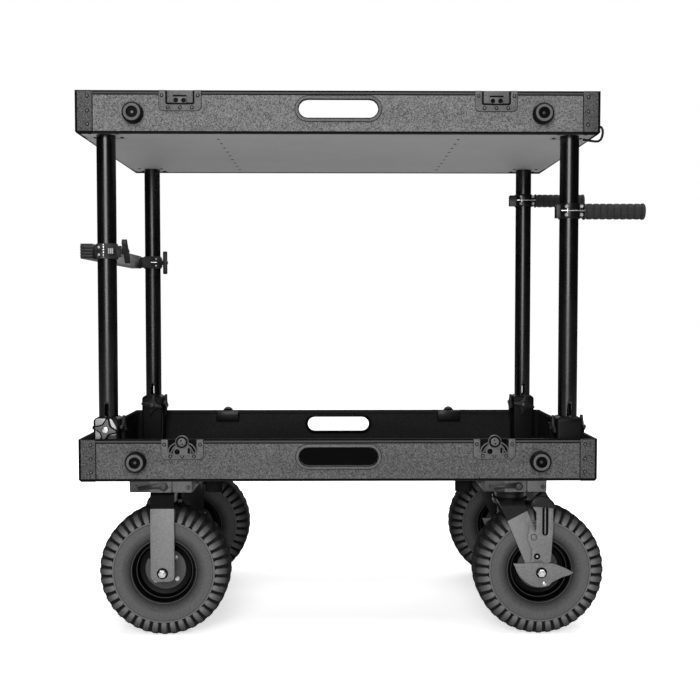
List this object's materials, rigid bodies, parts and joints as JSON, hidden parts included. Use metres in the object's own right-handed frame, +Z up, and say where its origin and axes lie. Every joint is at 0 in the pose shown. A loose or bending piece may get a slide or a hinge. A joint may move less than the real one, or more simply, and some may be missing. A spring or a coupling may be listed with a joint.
{
  "type": "camera cart",
  "caption": "Two-deck rolling equipment cart with rimmed trays on tube posts, push handles, a cross bar, fixed casters at one end and braked swivel casters at the other.",
  "frame": {"origin": "on the floor, under the middle of the cart's box", "axes": "+X along the decks towards the push handles and the swivel casters, +Y away from the front, +Z up"},
  "size_m": [1.134, 0.626, 1.0945],
  "materials": {
    "deck_coat": "grey textured powder coat with black rim extrusions",
    "deck_panel": "smooth grey coat",
    "post_tube": "glossy black anodised tube",
    "cast_metal": "satin grey casting",
    "bar_metal": "satin black",
    "black_metal": "satin black paint",
    "fork_metal": "light grey satin coat",
    "wheel_rim": "gloss black dish with a grey hub disc",
    "tyre": "dark grey rubber with shoulder lugs",
    "grip": "ribbed matt rubber",
    "knob": "satin black moulding"
  },
  "bodies": {
    "base": {"lower_floor": "deck_panel", "lower_wall_front": "deck_coat", "lower_wall_back": "deck_coat", "lower_wall_left": "deck_coat", "lower_wall_right": "deck_coat", "socket_front_left": "cast_metal", "socket_front_right": "cast_metal", "socket_back_left": "cast_metal", "socket_back_right": "cast_metal", "caster_rail_front_left": "black_metal", "caster_rail_front_right": "black_metal", "caster_rail_back_left": "black_metal", "caster_rail_back_right": "black_metal", "fork_front_left": "fork_metal", "fork_back_left": "fork_metal"},
    "upper": {"upper_floor": "deck_panel", "upper_wall_front": "deck_coat", "upper_wall_back": "deck_coat", "upper_wall_left": "deck_coat", "upper_wall_right": "deck_coat", "post_front_left": "post_tube", "post_front_right": "post_tube", "post_back_left": "post_tube", "post_back_right": "post_tube", "tie_loop": "black_metal"},
    "latch_front_left": {"twist_latch_front_left": "black_metal"},
    "latch_front_right": {"twist_latch_front_right": "black_metal"},
    "latch_back_left": {"twist_latch_back_left": "black_metal"},
    "latch_back_right": {"twist_latch_back_right": "black_metal"},
    "star_front_left_main": {"star_knob_front_left_main": "knob"},
    "star_front_left_side": {"star_knob_front_left_side": "knob"},
    "star_front_right_main": {"star_knob_front_right_main": "knob"},
    "star_front_right_side": {"star_knob_front_right_side": "knob"},
    "star_back_left_main": {"star_knob_back_left_main": "knob"},
    "star_back_left_side": {"star_knob_back_left_side": "knob"},
    "star_back_right_main": {"star_knob_back_right_main": "knob"},
    "star_back_right_side": {"star_knob_back_right_side": "knob"},
    "lever_front_left": {"release_lever_front_left": "black_metal"},
    "lever_front_right": {"release_lever_front_right": "black_metal"},
    "lever_back_left": {"release_lever_back_left": "black_metal"},
    "lever_back_right": {"release_lever_back_right": "black_metal"},
    "swivel_front": {"fork_front_right": "fork_metal"},
    "swivel_back": {"fork_back_right": "fork_metal"},
    "wheel_front_left": {"tyre_front_left": "tyre", "wheel_rim_front_left": "wheel_rim"},
    "wheel_front_right": {"tyre_front_right": "tyre", "wheel_rim_front_right": "wheel_rim"},
    "wheel_back_left": {"tyre_back_left": "tyre", "wheel_rim_back_left": "wheel_rim"},
    "wheel_back_right": {"tyre_back_right": "tyre", "wheel_rim_back_right": "wheel_rim"},
    "brake_front": {"brake_pedal_front_right": "fork_metal"},
    "brake_back": {"brake_pedal_back_right": "fork_metal"},
    "handle_front": {"handle_clamp_front": "black_metal", "handle_grip_front": "grip"},
    "handle_back": {"handle_clamp_back": "black_metal", "handle_grip_back": "grip"},
    "bar": {"cross_bar": "bar_metal"},
    "bar_knob_front": {"cross_bar_knob_front": "knob"},
    "bar_knob_back": {"cross_bar_knob_back": "knob"}
  },
  "joints": [
    {"name": "upper_lift", "type": "slide", "parent": "base", "child": "upper", "axis": [0, 0, 1], "range_m": [0, 0.115]},
    {"name": "latch_front_left_turn", "type": "hinge", "parent": "base", "child": "latch_front_left", "pos_m": [-0.361, -0.2963, 0.4015], "axis": [0, 1, 0], "range_deg": [0, 90]},
    {"name": "latch_front_right_turn", "type": "hinge", "parent": "base", "child": "latch_front_right", "pos_m": [0.261, -0.2963, 0.4015], "axis": [0, 1, 0], "range_deg": [0, 90]},
    {"name": "latch_back_left_turn", "type": "hinge", "parent": "base", "child": "latch_back_left", "pos_m": [-0.333, 0.2963, 0.4015], "axis": [0, -1, 0], "range_deg": [0, 90]},
    {"name": "latch_back_right_turn", "type": "hinge", "parent": "base", "child": "latch_back_right", "pos_m": [0.233, 0.2963, 0.4015], "axis": [0, -1, 0], "range_deg": [0, 90]},
    {"name": "star_front_left_main_turn", "type": "hinge", "parent": "base", "child": "star_front_left_main", "pos_m": [-0.51525, -0.2813, 0.4245], "axis": [0, 1, 0], "continuous": true},
    {"name": "star_front_left_side_turn", "type": "hinge", "parent": "base", "child": "star_front_left_side", "pos_m": [-0.48895, -0.255, 0.4245], "axis": [1, 0, 0], "continuous": true},
    {"name": "star_front_right_main_turn", "type": "hinge", "parent": "base", "child": "star_front_right_main", "pos_m": [0.44155, -0.255, 0.4245], "axis": [1, 0, 0], "continuous": true},
    {"name": "star_front_right_side_turn", "type": "hinge", "parent": "base", "child": "star_front_right_side", "pos_m": [0.38895, -0.255, 0.4245], "axis": [1, 0, 0], "continuous": true},
    {"name": "star_back_left_main_turn", "type": "hinge", "parent": "base", "child": "star_back_left_main", "pos_m": [-0.51525, 0.2287, 0.4245], "axis": [0, 1, 0], "continuous": true},
    {"name": "star_back_left_side_turn", "type": "hinge", "parent": "base", "child": "star_back_left_side", "pos_m": [-0.48895, 0.255, 0.4245], "axis": [1, 0, 0], "continuous": true},
    {"name": "star_back_right_main_turn", "type": "hinge", "parent": "base", "child": "star_back_right_main", "pos_m": [0.41525, 0.2287, 0.4245], "axis": [0, 1, 0], "continuous": true},
    {"name": "star_back_right_side_turn", "type": "hinge", "parent": "base", "child": "star_back_right_side", "pos_m": [0.38895, 0.255, 0.4245], "axis": [1, 0, 0], "continuous": true},
    {"name": "lever_front_left_release", "type": "hinge", "parent": "base", "child": "lever_front_left", "pos_m": [-0.399, -0.2903, 0.311], "axis": [0, 1, 0], "range_deg": [-60, 0]},
    {"name": "lever_front_right_release", "type": "hinge", "parent": "base", "child": "lever_front_right", "pos_m": [0.311, -0.2903, 0.311], "axis": [0, 1, 0], "range_deg": [-60, 0]},
    {"name": "lever_back_left_release", "type": "hinge", "parent": "base", "child": "lever_back_left", "pos_m": [-0.411, 0.2903, 0.311], "axis": [0, -1, 0], "range_deg": [-60, 0]},
    {"name": "lever_back_right_release", "type": "hinge", "parent": "base", "child": "lever_back_right", "pos_m": [0.299, 0.2903, 0.311], "axis": [0, -1, 0], "range_deg": [-60, 0]},
    {"name": "swivel_front_turn", "type": "hinge", "parent": "base", "child": "swivel_front", "pos_m": [0.305, -0.225, 0.29], "axis": [0, 0, 1], "continuous": true},
    {"name": "swivel_back_turn", "type": "hinge", "parent": "base", "child": "swivel_back", "pos_m": [0.305, 0.225, 0.29], "axis": [0, 0, 1], "continuous": true},
    {"name": "wheel_front_left_spin", "type": "hinge", "parent": "base", "child": "wheel_front_left", "pos_m": [-0.405, -0.225, 0.13249], "axis": [0, 1, 0], "continuous": true},
    {"name": "wheel_back_left_spin", "type": "hinge", "parent": "base", "child": "wheel_back_left", "pos_m": [-0.405, 0.225, 0.13249], "axis": [0, 1, 0], "continuous": true},
    {"name": "wheel_front_right_spin", "type": "hinge", "parent": "swivel_front", "child": "wheel_front_right", "pos_m": [0.36, -0.225, 0.13249], "axis": [0, 1, 0], "continuous": true},
    {"name": "wheel_back_right_spin", "type": "hinge", "parent": "swivel_back", "child": "wheel_back_right", "pos_m": [0.36, 0.225, 0.13249], "axis": [0, 1, 0], "continuous": true},
    {"name": "brake_front_press", "type": "hinge", "parent": "swivel_front", "child": "brake_front", "pos_m": [0.35, -0.2833, 0.16649], "axis": [0, 1, 0], "range_deg": [0, 12]},
    {"name": "brake_back_press", "type": "hinge", "parent": "swivel_back", "child": "brake_back", "pos_m": [0.35, 0.1667, 0.16649], "axis": [0, 1, 0], "range_deg": [0, 12]},
    {"name": "handle_front_swing", "type": "hinge", "parent": "upper", "child": "handle_front", "pos_m": [0.41525, -0.255, 0.862], "axis": [0, 0, 1], "range_deg": [-90, 90]},
    {"name": "handle_back_swing", "type": "hinge", "parent": "upper", "child": "handle_back", "pos_m": [0.41525, 0.255, 0.9365], "axis": [0, 0, 1], "range_deg": [-90, 90]},
    {"name": "bar_height", "type": "slide", "parent": "upper", "child": "bar", "axis": [0, 0, 1], "range_m": [-0.25, 0.15]},
    {"name": "bar_knob_front_turn", "type": "hinge", "parent": "bar", "child": "bar_knob_front", "pos_m": [-0.48495, -0.255, 0.781], "axis": [1, 0, 0], "continuous": true},
    {"name": "bar_knob_back_turn", "type": "hinge", "parent": "bar", "child": "bar_knob_back", "pos_m": [-0.49195, 0.255, 0.781], "axis": [1, 0, 0], "continuous": true}
  ]
}
